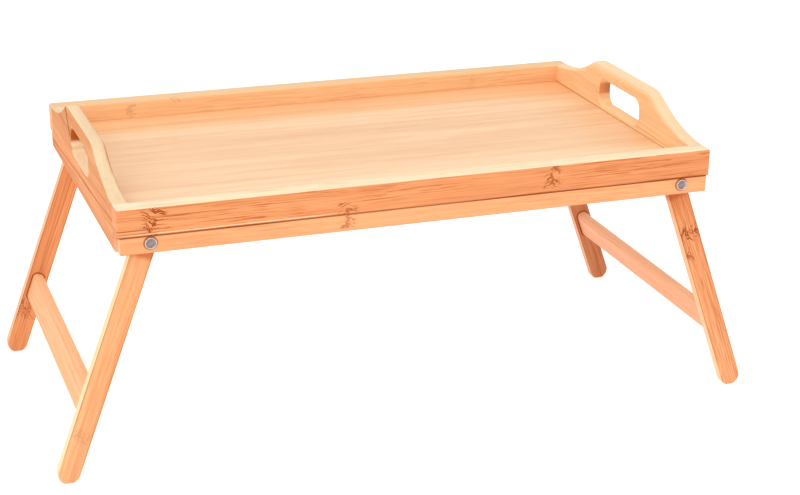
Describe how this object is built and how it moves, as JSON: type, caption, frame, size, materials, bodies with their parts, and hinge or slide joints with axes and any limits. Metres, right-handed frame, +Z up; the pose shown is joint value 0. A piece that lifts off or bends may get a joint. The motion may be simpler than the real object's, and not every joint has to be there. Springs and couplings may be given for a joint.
{
  "type": "folding tray table",
  "caption": "Low bamboo bed tray with a raised rim, a slotted handle in each end board, and two splayed leg frames that fold flat under the floor on side rivets.",
  "frame": {"origin": "on the ground under the middle of the tray, with the legs open", "axes": "+X along the tray from the left handle to the right handle, +Y from the front rail to the rear rail, +Z up"},
  "size_m": [0.6056, 0.3022, 0.252],
  "materials": {
    "bamboo": "clear-lacquered laminated bamboo, satin, with dark fibre streaks and node marks",
    "bamboo_floor": "clear-lacquered bamboo strips laid edge to edge, satin, paler than the frame",
    "dowel_wood": "plain sanded hardwood",
    "rivet_steel": "nickel-plated steel, bright ring and dull dish",
    "screw_steel": "zinc-plated steel"
  },
  "bodies": {
    "tray": {"front_rail": "bamboo", "rear_rail": "bamboo", "left_end_board": "bamboo", "right_end_board": "bamboo", "floor_panel": "bamboo_floor", "front_leg_strip": "bamboo", "rear_leg_strip": "bamboo", "left_front_upper_dowel": "dowel_wood", "left_front_lower_dowel": "dowel_wood", "left_rear_upper_dowel": "dowel_wood", "left_rear_lower_dowel": "dowel_wood", "right_front_upper_dowel": "dowel_wood", "right_front_lower_dowel": "dowel_wood", "right_rear_upper_dowel": "dowel_wood", "right_rear_lower_dowel": "dowel_wood", "front_left_screw": "screw_steel", "front_middle_screw": "screw_steel", "front_right_screw": "screw_steel", "rear_left_screw": "screw_steel", "rear_middle_screw": "screw_steel", "rear_right_screw": "screw_steel", "left_front_rivet": "rivet_steel", "left_front_spacer_washer": "rivet_steel", "left_front_tail_washer": "rivet_steel", "left_rear_rivet": "rivet_steel", "left_rear_spacer_washer": "rivet_steel", "left_rear_tail_washer": "rivet_steel", "right_front_rivet": "rivet_steel", "right_front_spacer_washer": "rivet_steel", "right_front_tail_washer": "rivet_steel", "right_rear_rivet": "rivet_steel", "right_rear_spacer_washer": "rivet_steel", "right_rear_tail_washer": "rivet_steel"},
    "left_leg_frame": {"left_front_leg": "bamboo", "left_rear_leg": "bamboo", "left_stretcher": "bamboo"},
    "right_leg_frame": {"right_front_leg": "bamboo", "right_rear_leg": "bamboo", "right_stretcher": "bamboo"}
  },
  "joints": [
    {"name": "left_leg_fold", "type": "hinge", "parent": "tray", "child": "left_leg_frame", "pos_m": [-0.2245, 0, 0.1985], "axis": [0, -1, 0], "range_deg": [0, 110]},
    {"name": "right_leg_fold", "type": "hinge", "parent": "tray", "child": "right_leg_frame", "pos_m": [0.2245, 0, 0.1985], "axis": [0, 1, 0], "range_deg": [0, 110]}
  ]
}
